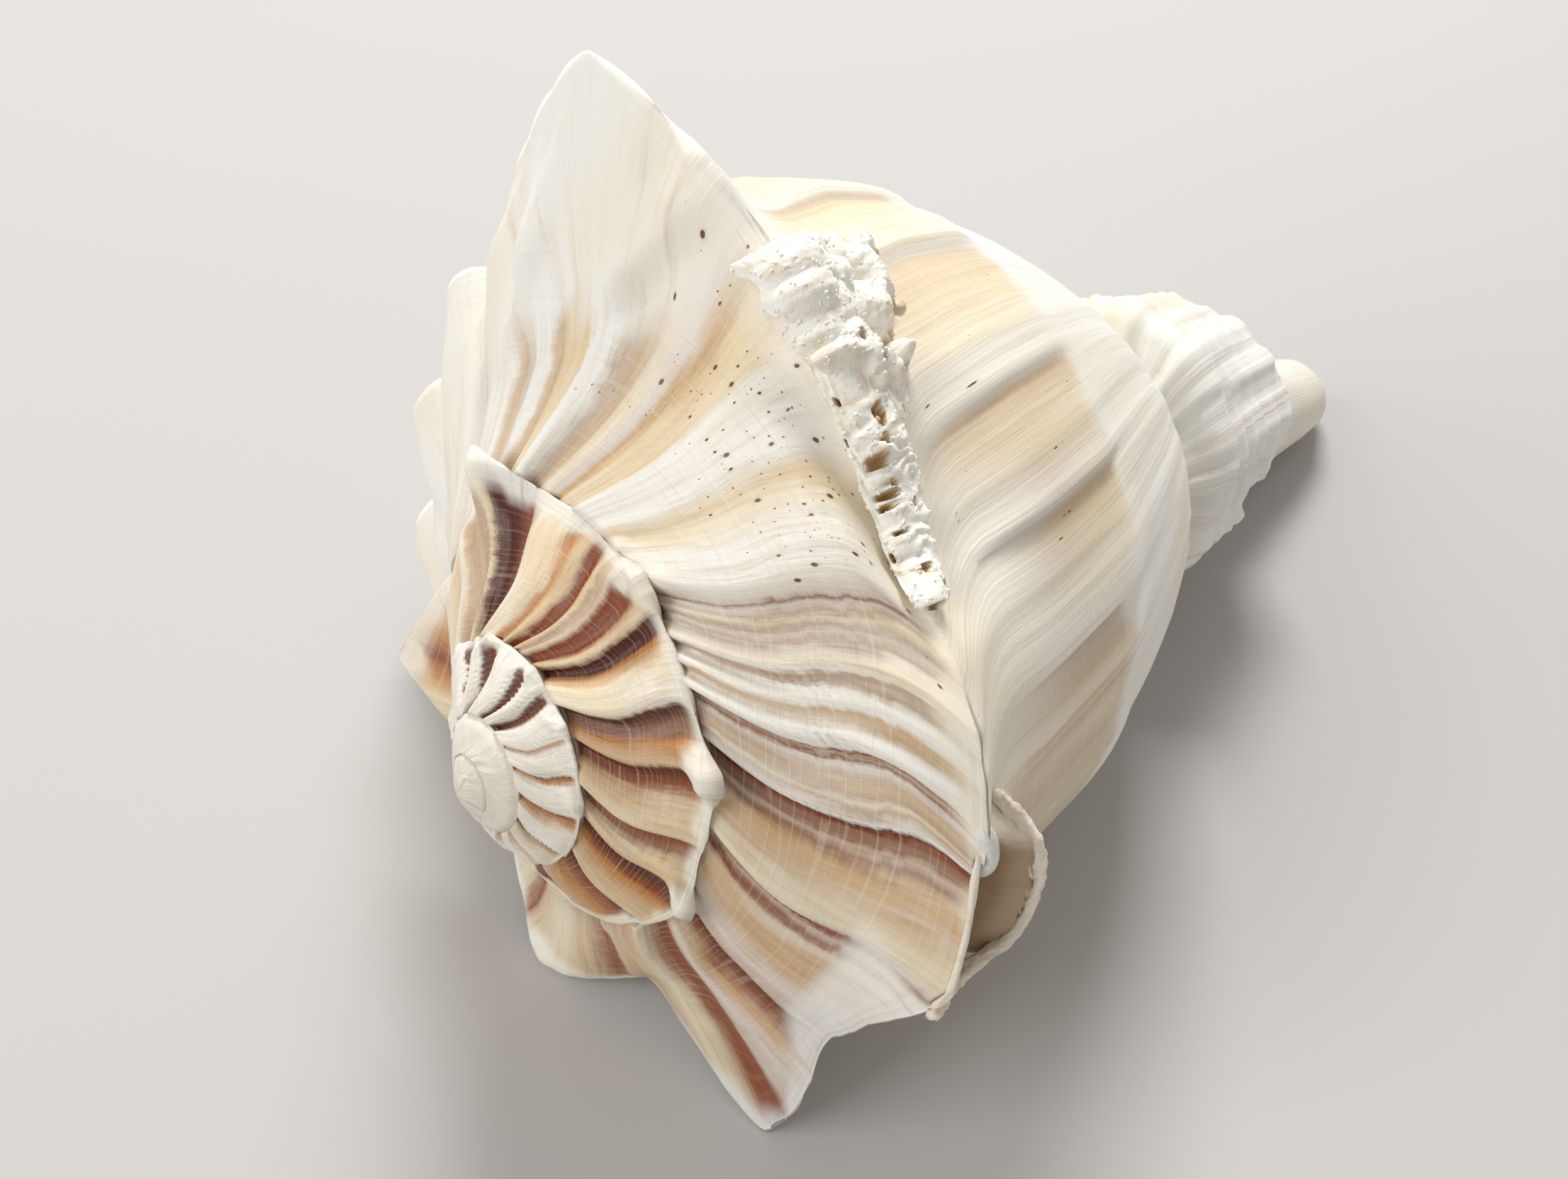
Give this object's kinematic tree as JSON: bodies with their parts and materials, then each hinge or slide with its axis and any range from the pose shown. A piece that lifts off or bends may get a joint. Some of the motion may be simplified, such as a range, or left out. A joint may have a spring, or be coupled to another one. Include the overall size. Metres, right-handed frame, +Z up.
{
  "type": "lightning whelk shell",
  "caption": "Left-handed whelk shell with a low spire, broad spiny shoulders, an open aperture underneath and a long tapering canal.",
  "frame": {"origin": "middle of the shell's box, on the surface it lies on", "axes": "+Z is up; the shell lies aperture down, spire towards -X and canal towards +X"},
  "size_m": [0.1485, 0.1336, 0.1012],
  "materials": {
    "shell": "satin"
  },
  "bodies": {
    "root": {"shell": "shell"}
  },
  "joints": []
}
